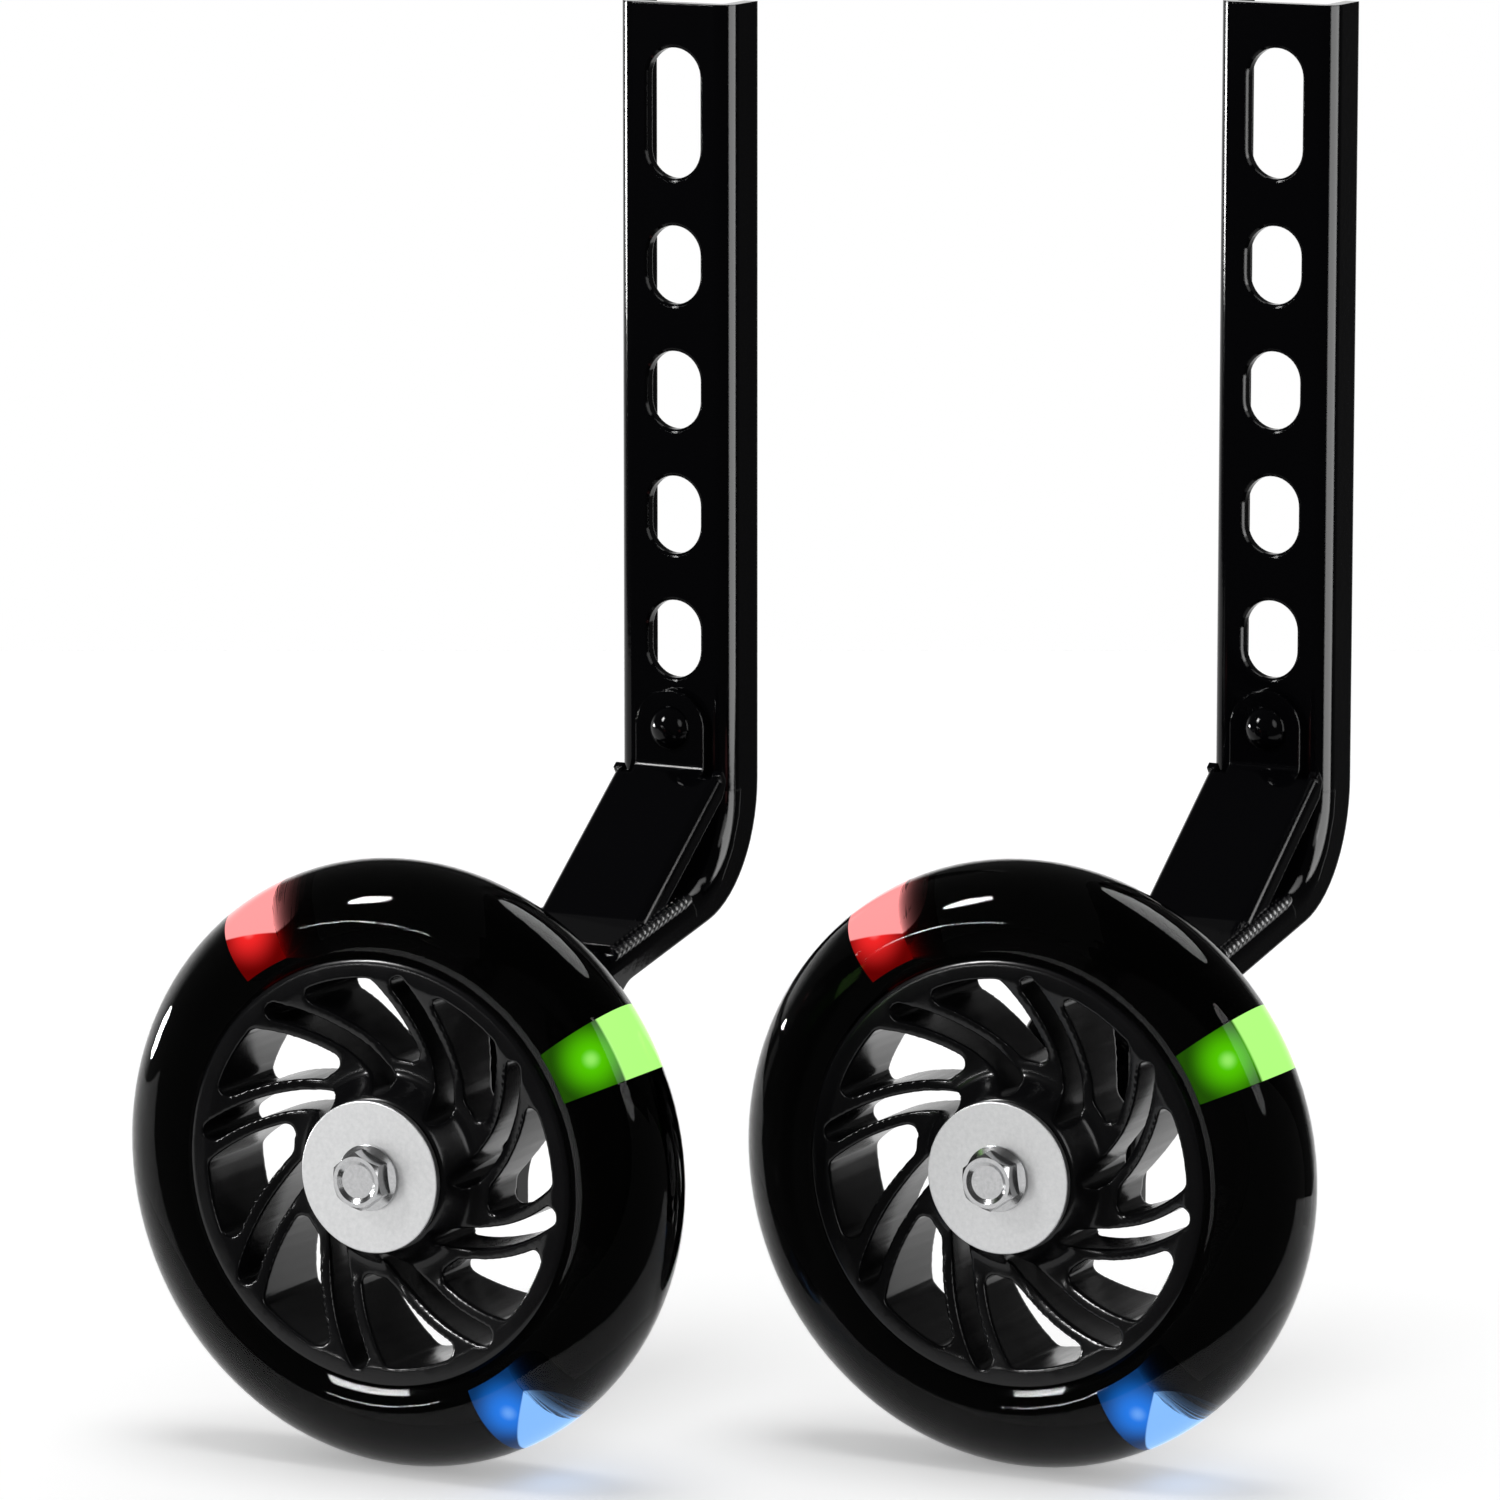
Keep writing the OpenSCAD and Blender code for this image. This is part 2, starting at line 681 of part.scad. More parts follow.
module bearing_inner_rings() {
    color("#9fa2a6") at_wheel() both_bearings()
        bearing_ring(bearing_bore / 2, inner_land_r);
}

module bearing_outer_rings() {
    color("#9fa2a6") at_wheel() both_bearings()
        bearing_ring(outer_land_r, bearing_d / 2);
}

// Puts a child in the place of each ball
module ball_places() {
    for (i = [0:ball_count - 1]) rotate([0, i * 360 / ball_count, 0])
        translate([pitch_r, bearing_w / 2, 0]) children();
}

module bearing_balls() {
    color("#dfe1e4") at_wheel() both_bearings() ball_places() sphere(ball_r);
}

// A crown cage: a ring behind the balls with fingers between them
module bearing_cages() {
    pocket_r = ball_r + cage_play;
    color("#c8b98a") at_wheel() both_bearings() difference() {
        ring(pitch_r - cage_half, pitch_r + cage_half, bearing_w / 2 - cage_half, cage_h + cage_half);
        ball_places() rotate([0, 90, 0]) cylinder(h = 4 * cage_half, r = pocket_r, center = true);
    }
}

module bearing_shields() {
    color("#8b8e92") at_wheel() both_bearings()
        for (y = [shield_in, bearing_w - shield_in - shield_t])
            ring(inner_land_r + shield_play, outer_land_r - pocket_play, y, shield_t);
}

// Outline of the core, as radius and width, from bore to rim and back
module core_profile() {
    shoulder_r = bearing_d / 2 + pocket_play;
    half = rounded([
        [shoulder_in_r, 0], [shoulder_in_r, bearing_y], [shoulder_r, bearing_y],
        [shoulder_r, hub_w / 2], [boss_d / 2, hub_w / 2],
        [boss_d / 2 + boss_slope, dish_w / 2], [hub_r + opening_r, dish_w / 2],
        [rim_in_r, rim_w / 2], [rim_r, rim_w / 2],
        [rim_r, ridge_w / 2], [ridge_r, ridge_w / 2], [ridge_r, 0]
    ], [0, 0, 0, 0, rim_edge_r, boss_slope / 2, dish_r, rim_edge_r, rim_edge_r, 0, 0, 0], core_steps);
    last = len(half) - 2;
    polygon([
        for (i = [1:last]) half[i],
        for (i = [last:-1:1]) [half[i][0], -half[i][1]]
    ]);
}

// Ends and centre of a spoke's curve, for a spoke that meets the rim at angle a
function spoke_out(a) = polar(split_out_r, a);
function spoke_in(a) = polar(split_in_r, a - spoke_sweep);
function spoke_centre(a) =
    let (
        chord = spoke_out(a) - spoke_in(a),
        rise = sqrt(pow(spoke_curve_r, 2) - pow(norm(chord) / 2, 2))
    )
    mid(spoke_out(a), spoke_in(a)) + left_of(unit(chord)) * rise;

// The angle at a spoke's centre of one of its points
function angle_at(c, p) = atan2(p[1] - c[1], p[0] - c[0]);

// A wedge of the plane between two angles
module wedge(first, last, r) {
    polygon([[0, 0], polar(r, first), polar(r, (first + last) / 2), polar(r, last)]);
}

// One spoke over both ribs
module spoke(a) {
    intersection() {
        translate(spoke_centre(a)) difference() {
            circle(spoke_curve_r + spoke_w / 2);
            circle(spoke_curve_r - spoke_w / 2);
        }
        wedge(a - 2 * spoke_sweep, a + spoke_sweep, 2 * far_r);
    }
}

// The round-ended slot that splits a spoke in two
module split(a) {
    c = spoke_centre(a);
    turn = split_end / spoke_curve_r * 180 / PI;
    in_a = angle_at(c, spoke_in(a)) + turn;
    out_a = in_a + (angle_at(c, spoke_out(a)) - turn - in_a + 540) % 360 - 180;
    translate(c) {
        intersection() {
            difference() {
                circle(spoke_curve_r + split_end);
                circle(spoke_curve_r - split_end);
            }
            wedge(in_a, out_a, 2 * far_r);
        }
        for (end_a = [in_a, out_a]) translate(polar(spoke_curve_r, end_a)) circle(split_end - seam);
    }
}

// The openings between the spokes, with sharp corners
module opening_blanks() {
    difference() {
        circle(rim_in_r);
        circle(hub_r);
        for (i = [0:spoke_count - 1]) spoke(spoke_turn + i * 360 / spoke_count);
    }
}

// Outline of the openings, with rounded corners
module openings() {
    offset(r = opening_r, $fn = opening_steps) offset(delta = -opening_r)
        opening_blanks($fn = arc_steps);
}

// The core from one radius to another, with its openings and slots. The hub, the
// ribs of the spokes and the rim are one moulding, drawn as three pieces that meet.
module core(r_in, r_out) {
    color("#0d0d0e") at_wheel() difference() {
        spin() intersection() {
            core_profile();
            translate([r_in, -hub_w]) square([r_out - r_in, 2 * hub_w]);
        }
        front_slab(hub_w + 2 * over) openings();
        for (i = [0:spoke_count - 1])
            front_slab(hub_w + 2 * over) split(spoke_turn + i * 360 / spoke_count);
    }
}

module core_hub() {
    core(0, hub_end_r);
}

module core_spokes() {
    core(hub_end_r, rim_end_r);
}

module core_rim() {
    core(rim_end_r, far_r);
}

// Cross-section of tyre and lenses, outside radius r_in
module tyre_section(r_in) {
    side_r = tyre_r - crown_r;
    intersection() {
        union() {
            translate([side_r, 0]) circle(crown_r);
            polygon([
                [rim_r, -rim_w / 2], [side_r, -tyre_w / 2],
                [side_r, tyre_w / 2], [rim_r, rim_w / 2]
            ]);
        }
        translate([r_in, -tyre_w]) square([far_r - r_in, 2 * tyre_w]);
    }
}

// The sector that a lens takes out of the tyre
module lens_sector(a) {
    front_slab(tyre_w + 2 * over) wedge(a - lens_angle / 2, a + lens_angle / 2, far_r);
}

module tyre() {
    color("#1a1a1c") at_wheel() difference() {
        spin() difference() {
            tyre_section(rim_r + pocket_play);
            translate([0, -ridge_w / 2 - tyre_play])
                square([ridge_r + tyre_play, ridge_w + 2 * tyre_play]);
        }
        for (a = [red_turn, green_turn, blue_turn]) intersection() {
            lens_sector(a);
            ring(lens_in_r, far_r, -tyre_w, 2 * tyre_w);
        }
    }
}

// Turns a lamp's pieces, drawn along Z, to their place round the wheel
module at_lamp(a) {
    rotate([0, 90 - a, 0]) children();
}

// Board and coil of a lamp, enlarged by play for the room they take in the lens
module board(play) {
    base = lens_in_r + lens_play;
    translate([-board_w / 2 - play, -board_len / 2 - play, base - play])
        cube([board_w + 2 * play, board_len + 2 * play, board_t + 2 * play]);
    translate([0, board_len / 2 - coil_d / 2, base])
        cylinder(h = board_t + coil_h + play, r = coil_d / 2 + play);
}

// Light-emitting diode of a lamp, with its domed end outwards
module led(play) {
    foot = lens_in_r + lens_play + board_t;
    translate([0, -coil_d / 2, foot - play]) cylinder(h = led_h - led_d / 2 + play, r = led_d / 2 + play);
    translate([0, -coil_d / 2, foot + led_h - led_d / 2]) sphere(led_d / 2 + play);
}

module lens(a) {
    difference() {
        intersection() {
            spin() tyre_section(lens_in_r + pocket_play);
            lens_sector(a);
        }
        at_lamp(a) {
            board(lens_play);
            led(lens_play);
        }
    }
}

module red_lens() {
    color("#e02828", 0.8) at_wheel() lens(red_turn);
}

module green_lens() {
    color("#5fc400", 0.8) at_wheel() lens(green_turn);
}

module blue_lens() {
    color("#1e82ff", 0.8) at_wheel() lens(blue_turn);
}

module lamp_boards() {
    color("#1f6b3a") at_wheel() for (a = [red_turn, green_turn, blue_turn]) at_lamp(a) board(0);
}

module lamp_leds() {
    color("#f4f4ee") at_wheel() for (a = [red_turn, green_turn, blue_turn]) at_lamp(a) led(0);
}

for (side = SIDES)
    translate(side == "left" ? [0, 0, 0] : [pair_gap_x, pair_gap_y, 0]) {
        arm();
        brace();
        brace_rivet();
        brace_welds();
        axle_bolt();
        outer_washer();
        axle_sleeve();
        jam_nut();
        back_washer();
        lock_nut();
        magnet_ring();
        bearing_inner_rings();
        bearing_outer_rings();
        bearing_balls();
        bearing_cages();
        bearing_shields();
        core_hub();
        core_spokes();
        core_rim();
        tyre();
        red_lens();
        green_lens();
        blue_lens();
        lamp_boards();
        lamp_leds();
    }
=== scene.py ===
# %% [markdown]
# # Bicycle training wheels
# This lesson dresses a pair of training wheels. The shapes come from a packed
# model of exact solids, and stay where they are. Here they get their surfaces,
# the small details that are too fine for the solids, a camera and soft light.

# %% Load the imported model
import math

import bmesh
import bpy
from mathutils import Matrix, Vector


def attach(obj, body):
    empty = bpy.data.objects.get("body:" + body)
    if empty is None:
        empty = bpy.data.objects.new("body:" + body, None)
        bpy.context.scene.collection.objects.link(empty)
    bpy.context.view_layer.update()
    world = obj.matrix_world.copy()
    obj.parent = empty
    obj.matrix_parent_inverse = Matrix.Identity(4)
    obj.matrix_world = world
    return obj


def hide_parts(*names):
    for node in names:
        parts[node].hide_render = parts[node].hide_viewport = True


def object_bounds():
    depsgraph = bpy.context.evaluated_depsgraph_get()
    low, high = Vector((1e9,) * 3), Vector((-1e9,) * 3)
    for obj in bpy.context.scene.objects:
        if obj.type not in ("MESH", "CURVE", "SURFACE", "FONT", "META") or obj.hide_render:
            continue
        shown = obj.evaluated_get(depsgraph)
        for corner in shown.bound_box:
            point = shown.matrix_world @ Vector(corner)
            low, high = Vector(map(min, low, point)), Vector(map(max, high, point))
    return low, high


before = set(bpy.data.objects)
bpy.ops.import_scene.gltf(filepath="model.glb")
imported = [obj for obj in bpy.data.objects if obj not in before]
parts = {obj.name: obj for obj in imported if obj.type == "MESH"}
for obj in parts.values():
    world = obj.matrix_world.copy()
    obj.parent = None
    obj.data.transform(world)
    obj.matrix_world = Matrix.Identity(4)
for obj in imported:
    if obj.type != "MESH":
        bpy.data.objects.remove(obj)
solid_box = [list(corner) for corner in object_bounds()]
print("loaded", len(parts), "pieces")

# %% [markdown]
# ## Measures
# Blender works in metres, and the piece is thought of in millimetres, so one
# value turns one into the other. Each unit has its own place: the right one is
# the left one moved across and back.

# %% Places of the two units and their wheels
MM = 0.001
SIDES = ("left", "right")
UNIT_PLACE = {"left": Vector((0, 0, 0)), "right": Vector((108, 55, 0)) * MM}
WHEEL_CENTRE = Vector((0, -111.8, -125.5)) * MM
wheel_place = {side: UNIT_PLACE[side] + WHEEL_CENTRE for side in SIDES}
for side, place in wheel_place.items():
    print(side, "wheel centre", tuple(round(v, 4) for v in place))

# %% [markdown]
# ## Helpers for materials
# Colours are written as the hex values that a screen shows. Shaders want
# linear light, so one function converts them. Another adds a node, with its
# settings and the links that feed it. The rest are the steps that most
# materials share: noise fixed to the object, a value spread between two
# limits, and a relief.

# %% Colour and node helpers
REFRACTION = 1.5  # index of refraction of enamel, nylon and urethane alike


def light(hex_colour):
    """The linear colour of an sRGB hex value."""
    channels = [int(hex_colour[i:i + 2], 16) / 255 for i in (1, 3, 5)]
    linear = [c / 12.92 if c <= 0.04045 else ((c + 0.055) / 1.055) ** 2.4 for c in channels]
    return linear + [1.0]


def new_material(name):
    """An empty material, without nodes."""
    material = bpy.data.materials.new(name)
    material.use_nodes = True
    material.node_tree.nodes.clear()
    return material


def add(material, kind, settings=None, links=None):
    """Adds a node; settings fill its options or sockets, links join its sockets to outputs."""
    node = material.node_tree.nodes.new(kind)
    for key, value in (settings or {}).items():
        if isinstance(key, str) and hasattr(node, key):
            setattr(node, key, value)
        else:
            node.inputs[key].default_value = value
    for key, output in (links or {}).items():
        material.node_tree.links.new(output, node.inputs[key])
    return node


def noise(material, size_mm, detail, roughness=0.5):
    """Noise with spots of about this size, fixed to the object."""
    place = add(material, "ShaderNodeTexCoord")
    spots = add(material, "ShaderNodeTexNoise",
                {"Scale": 1 / (size_mm * MM), "Detail": detail, "Roughness": roughness},
                {"Vector": place.outputs["Object"]})
    return spots.outputs["Fac"]


def spread(material, value, low, high):
    """Turns a value from 0 to 1 into one from low to high."""
    scale = add(material, "ShaderNodeMapRange", {"To Min": low, "To Max": high}, {"Value": value})
    return scale.outputs["Result"]


def relief(material, height, strength, depth_mm, links=None):
    """The surface normal of a bump of this depth."""
    bump = add(material, "ShaderNodeBump", {"Strength": strength, "Distance": depth_mm * MM},
               {"Height": height, **(links or {})})
    return bump.outputs["Normal"]


print("helpers ready, mid grey is", round(light("#808080")[0], 3))

# %% [markdown]
# ## Gloss black enamel
# The arms and braces are steel with a baked gloss enamel. Sprayed paint dries
# with a faint orange peel about 1.5 mm across, which makes its reflections
# tremble a little. It runs thick round the cut edges of the sheet, so these
# take a soft edge half a millimetre wide, where a thin line of light shows.

# %% Baked enamel on steel
PEEL_DEPTH_MM = 0.05
SHEEN_DRIFT_MM = 14
SOFT_EDGE_MM = 0.5


def baked_enamel(name, colour, peel_mm, peel_strength, roughness, mirror):
    """Paint with a peel of this size; mirror is the level of its reflections."""
    material = new_material(name)
    peel = noise(material, peel_mm, 1.5, 0.4)
    edge = add(material, "ShaderNodeBevel", {"samples": 4, "Radius": SOFT_EDGE_MM * MM})
    normal = relief(material, peel, peel_strength, PEEL_DEPTH_MM, {"Normal": edge.outputs["Normal"]})
    drift = noise(material, SHEEN_DRIFT_MM, 3.0)
    sheen = spread(material, drift, roughness * 0.8, roughness * 1.3)
    paint = add(material, "ShaderNodeBsdfPrincipled",
                {"Base Color": light(colour), "Specular IOR Level": mirror, "IOR": REFRACTION},
                {"Normal": normal, "Roughness": sheen})
    add(material, "ShaderNodeOutputMaterial", {}, {"Surface": paint.outputs["BSDF"]})
    return material


enamel = baked_enamel("baked_gloss_enamel", "#030304", 1.5, 0.1, 0.06, 0.15)
weld_enamel = baked_enamel("enamel_over_weld", "#060608", 0.45, 0.9, 0.1, 0.9)
print("made", enamel.name, "and", weld_enamel.name)

# %% [markdown]
# ## Metals
# Washers, bolts and nuts are steel plated with zinc. The plating is dull and
# finely mottled on the stamped washer, where the crystals are a millimetre or
# so across, and brighter on the bolt. The steel of the bearings and the
# sintered magnets are made the same way, with their own tones and polish.

# %% Zinc plate, bearing steel and magnets
METAL_GRAIN_MM = 0.35
METAL_GRAIN_DEPTH_MM = 0.02


def zinc_plate(name, pale, dark, mottle_mm, smooth, rough):
    """Metal that is mottled between two tones, and between two degrees of polish."""
    material = new_material(name)
    crystals = noise(material, mottle_mm, 6.0, 0.65)
    tone = add(material, "ShaderNodeMix", {"data_type": "RGBA", 6: light(dark), 7: light(pale)}, {0: crystals})
    normal = relief(material, noise(material, METAL_GRAIN_MM, 2.0), 0.25, METAL_GRAIN_DEPTH_MM)
    polish = spread(material, crystals, smooth, rough)
    plate = add(material, "ShaderNodeBsdfPrincipled", {"Metallic": 1.0},
                {"Base Color": tone.outputs[2], "Normal": normal, "Roughness": polish})
    add(material, "ShaderNodeOutputMaterial", {}, {"Surface": plate.outputs["BSDF"]})
    return material


washer_zinc = zinc_plate("mottled_zinc_plate", "#d4d4d4", "#aeafb0", 1.0, 0.34, 0.5)
bolt_zinc = zinc_plate("bright_zinc_plate", "#cccccc", "#a4a5a7", 0.8, 0.12, 0.22)
bearing_steel = zinc_plate("ground_bearing_steel", "#c9cacc", "#9fa1a5", 3.0, 0.2, 0.3)
ball_steel = zinc_plate("polished_ball_steel", "#e6e7e9", "#d8d9dc", 3.0, 0.05, 0.08)
magnet_grey = zinc_plate("sintered_magnet", "#4c4d50", "#3a3b3e", 0.6, 0.45, 0.6)
print("made five metals")

# %% [markdown]
# ## Moulded nylon
# The core is black glass-filled nylon from a mould with a fine satin finish.
# Its skin is a little glossy and slightly uneven, so that edges catch a thin
# light and faces stay dark. The bearings' cages and the lamps' boards are
# matter and take the same steps.

# %% Black moulded nylon
NYLON_GRAIN_DEPTH_MM = 0.03
NYLON_FLOW_MM = 9


def moulded_nylon(name, colour, roughness, grain_mm, mirror):
    """Moulded plastic with a fine grain; mirror is the level of its reflections."""
    material = new_material(name)
    normal = relief(material, noise(material, grain_mm, 3.0), 0.18, NYLON_GRAIN_DEPTH_MM)
    polish = spread(material, noise(material, NYLON_FLOW_MM, 3.0), roughness * 0.75, roughness * 1.35)
    nylon = add(material, "ShaderNodeBsdfPrincipled",
                {"Base Color": light(colour), "IOR": REFRACTION, "Specular IOR Level": mirror},
                {"Normal": normal, "Roughness": polish})
    add(material, "ShaderNodeOutputMaterial", {}, {"Surface": nylon.outputs["BSDF"]})
    return material


core_nylon = moulded_nylon("black_moulded_nylon", "#080809", 0.2, 0.4, 0.3)
cage_nylon = moulded_nylon("natural_nylon", "#cfc4a2", 0.4, 0.4, 0.5)
board_mask = moulded_nylon("green_solder_mask", "#1d5a33", 0.35, 0.5, 0.5)
print("made", core_nylon.name)

# %% [markdown]
# ## Smoky urethane
# The tyre is clear urethane with black dye, cast round the core. Its skin is
# as smooth as glass. Light gets a few millimetres in, so the tyre looks black
# where it is thick and grey along its thin edge.

# %% Dyed clear urethane
RIPPLE_MM = 7
RIPPLE_DEPTH_MM = 0.08
MIRROR_TINT = "#8a8a8a"  # weakens the reflections of a clear skin


def dyed_urethane(name, colour, depth_mm, roughness):
    """Clear urethane whose dye takes most of the light in this depth."""
    material = new_material(name)
    normal = relief(material, noise(material, RIPPLE_MM, 2.0), 0.15, RIPPLE_DEPTH_MM)
    skin = add(material, "ShaderNodeBsdfPrincipled",
               {"Base Color": light("#ffffff"), "Roughness": roughness, "IOR": REFRACTION,
                "Specular Tint": light(MIRROR_TINT), "Transmission Weight": 1.0},
               {"Normal": normal})
    dye = add(material, "ShaderNodeVolumeAbsorption", {"Color": light(colour), "Density": 1 / (depth_mm * MM)})
    add(material, "ShaderNodeOutputMaterial", {},
        {"Surface": skin.outputs["BSDF"], "Volume": dye.outputs["Volume"]})
    return material


smoke = dyed_urethane("smoky_urethane", "#101012", 3.4, 0.02)
print("made", smoke.name)

# %% [markdown]
# ## Lit lenses
# Three blocks of the tyre are coloured urethane with a lamp inside. Seen from
# the side, the part by the core is deep in colour with a bright spot over the
# diode. Both are painted light: the diode gives none, so its glow is emission
# painted on the lens. The part by the tread is pale, a painted reflection of a
# softbox. The painted shade follows the distance from the wheel's axis.

# %% Coloured urethane with painted glow and painted reflection
BORDER_MM = 0.15  # half the width over which the deep zone turns pale
DIODE_DEPTH_MM = -10.5
GLOW_MM = (8.5, 1.0)  # where the glow round the diode starts and is full
HOT_SPOT_MM = (2.2, 0.2)
HOT_SPOT = 0.55
BODY_BLACK = 0.85  # most of what shows is the lens's own light
LENS_GLOW = 0.9


def lit_urethane(name, side, pale, full, deep, turn, reflection_edge_mm, reflection_lean, lamp_mm):
    """A lens with a painted glow, deep by the core, a painted reflection pale by the tread, and a painted hot
    spot.
    """
    material = new_material(name)
    angle = math.radians(turn)
    outwards = Vector((math.cos(angle), 0, math.sin(angle)))
    along = Vector((-math.sin(angle), 0, math.cos(angle)))

    def closeness(distance, limits_mm, most=1.0):
        """Grows from 0 to most as a distance falls from the first limit to the second."""
        near = add(material, "ShaderNodeMapRange",
                   {"interpolation_type": "SMOOTHSTEP", "From Min": limits_mm[0] * MM,
                    "From Max": limits_mm[1] * MM, "To Max": most},
                   {"Value": distance})
        return near.outputs["Result"]

    place = add(material, "ShaderNodeTexCoord")
    spoke = add(material, "ShaderNodeVectorMath", {"operation": "SUBTRACT", 1: tuple(wheel_place[side])},
                {0: place.outputs["Object"]})
    flat = add(material, "ShaderNodeVectorMath", {"operation": "MULTIPLY", 1: (1, 0, 1)}, {0: spoke.outputs[0]})
    reach = add(material, "ShaderNodeVectorMath", {"operation": "LENGTH"}, {0: flat.outputs[0]})
    slope = add(material, "ShaderNodeVectorMath", {"operation": "DOT_PRODUCT", 1: tuple(along * reflection_lean)},
                {0: spoke.outputs[0]})
    level = add(material, "ShaderNodeMath", {"operation": "ADD"},
                {0: reach.outputs["Value"], 1: slope.outputs["Value"]})
    # Past this leaning border the lens turns pale: a painted reflection of a softbox.
    edge = add(material, "ShaderNodeMapRange",
               {"From Min": (reflection_edge_mm - BORDER_MM) * MM, "From Max": (reflection_edge_mm + BORDER_MM) * MM},
               {"Value": level.outputs[0]})
    # The glow round the diode and its hot spot are painted light; the diode itself gives none.
    diode = outwards * lamp_mm * MM + Vector((0, DIODE_DEPTH_MM, 0)) * MM
    gap = add(material, "ShaderNodeVectorMath", {"operation": "DISTANCE", 1: tuple(diode)},
              {0: spoke.outputs[0]})
    wide = closeness(gap.outputs["Value"], GLOW_MM)
    core = closeness(gap.outputs["Value"], HOT_SPOT_MM, HOT_SPOT)
    deep_to_full = add(material, "ShaderNodeMix", {"data_type": "RGBA", 6: light(deep), 7: light(full)},
                       {0: wide})
    spot = add(material, "ShaderNodeMix", {"data_type": "RGBA", 7: light(pale)},
               {0: core, 6: deep_to_full.outputs[2]})
    shade = add(material, "ShaderNodeMix", {"data_type": "RGBA", 7: light(pale)},
                {0: edge.outputs["Result"], 6: spot.outputs[2]})
    body = add(material, "ShaderNodeMix", {"data_type": "RGBA", 0: BODY_BLACK, 7: light("#000000")},
               {6: shade.outputs[2]})
    # The painted colours are sent out as emission, so the lens glows though it is no lamp.
    lens = add(material, "ShaderNodeBsdfPrincipled",
               {"Roughness": 0.06, "IOR": REFRACTION, "Specular IOR Level": 0.15,
                "Emission Strength": LENS_GLOW},
               {"Base Color": body.outputs[2], "Emission Color": shade.outputs[2]})
    add(material, "ShaderNodeOutputMaterial", {}, {"Surface": lens.outputs["BSDF"]})
    return material


# The colours pale, full and deep, the lens's middle in degrees, the radius in
# millimetres where the pale painted reflection begins, how much that border
# leans, and the diode's radius in millimetres.
LENS_LOOK = {
    "red": ("#ff9a9a", "#f02626", "#5e0000", 122, 52.6, -0.34, 53.5),
    "green": ("#b2ff80", "#52c400", "#1d4a04", 30, 57.4, 0.0, 54.0),
    "blue": ("#86beff", "#1a78e6", "#08305e", -57, 55.2, 0.74, 52.5),
}
lens_material = {
    (side, colour): lit_urethane(f"{colour}_lit_urethane_{side}", side, *look)
    for side in SIDES for colour, look in LENS_LOOK.items()
}
print("made", len(lens_material), "lit lens materials")

# %% [markdown]
# ## Dressing the pieces
# A piece whose solid already has the right form keeps it, and only its
# material changes.

# %% Give each solid its material
PIECE_MATERIAL = {
    "arm": enamel, "brace": enamel, "brace_rivet": enamel, "brace_welds": weld_enamel,
    "axle_bolt": bolt_zinc, "outer_washer": washer_zinc, "axle_sleeve": bolt_zinc,
    "jam_nut": bolt_zinc, "back_washer": washer_zinc, "lock_nut": bolt_zinc,
    "magnet_ring": magnet_grey, "bearing_inner_rings": bearing_steel, "bearing_outer_rings": bearing_steel,
    "bearing_balls": ball_steel, "bearing_cages": cage_nylon, "bearing_shields": bearing_steel,
    "core_hub": core_nylon, "core_spokes": core_nylon, "core_rim": core_nylon, "tyre": smoke,
    "lamp_boards": board_mask, "lamp_leds": cage_nylon,
}


def dress(piece, material):
    """Gives a piece this one material."""
    piece.data.materials.clear()
    piece.data.materials.append(material)


for side in SIDES:
    for name, material in PIECE_MATERIAL.items():
        dress(parts[f"{side}_{name}"], material)
    for colour in LENS_LOOK:
        dress(parts[f"{side}_{colour}_lens"], lens_material[side, colour])
print("dressed", len(parts), "pieces")

# %% [markdown]
# ## The moulded core
# A mould has no sharp edges: every rim of an opening is rounded by half a
# millimetre or so, and that is what draws the thin bright lines in the black.
# The exact solids are sharp, and the core is in three of them: hub, ribs and
# rim. A copy of all three is turned into fine voxels, smoothed, and made
# lighter again, which joins them and rounds every edge alike.

# %% Round the core's edges
CORE_NODES = ("core_hub", "core_spokes", "core_rim")
WELD_MM = 0.001
VOXEL_MM = 0.4
SMOOTHING_PASSES = 8
FACES_KEPT = 0.22


def moulded_copy(sources, name):
    """One soft-edged mesh in the place of several sharp ones."""
    piece = bpy.data.objects.new(name, bpy.data.meshes.new(name))
    bpy.context.scene.collection.objects.link(piece)
    work = bmesh.new()
    for source in sources:
        work.from_mesh(source.data)
    bmesh.ops.remove_doubles(work, verts=work.verts, dist=WELD_MM * MM)
    work.to_mesh(piece.data)
    work.free()
    remesh = piece.modifiers.new("skin", "REMESH")
    remesh.mode = "VOXEL"
    remesh.voxel_size = VOXEL_MM * MM
    smooth = piece.modifiers.new("soften", "SMOOTH")
    smooth.factor = 0.5
    smooth.iterations = SMOOTHING_PASSES
    lighter = piece.modifiers.new("lighten", "DECIMATE")
    lighter.ratio = FACES_KEPT
    bpy.context.view_layer.update()
    ready = piece.evaluated_get(bpy.context.evaluated_depsgraph_get())
    mesh = bpy.data.meshes.new_from_object(ready)
    piece.modifiers.clear()
    piece.data = mesh
    mesh.shade_smooth()
    return piece


cores = {"left": moulded_copy([parts[f"left_{name}"] for name in CORE_NODES], "left_core_casting")}
cores["right"] = bpy.data.objects.new("right_core_casting", cores["left"].data.copy())
cores["right"].data.transform(Matrix.Translation(UNIT_PLACE["right"]))
bpy.context.scene.collection.objects.link(cores["right"])
for side, core in cores.items():
    dress(core, core_nylon)
    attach(core, f"{side}_wheel")
    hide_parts(*[f"{side}_{name}" for name in CORE_NODES])
print("core casting has", len(cores["left"].data.polygons), "faces")

# %% [markdown]
# ## Camera
# The photograph was taken with a long lens, from the right of straight on and
# a little above. The camera's place comes from matching known points.

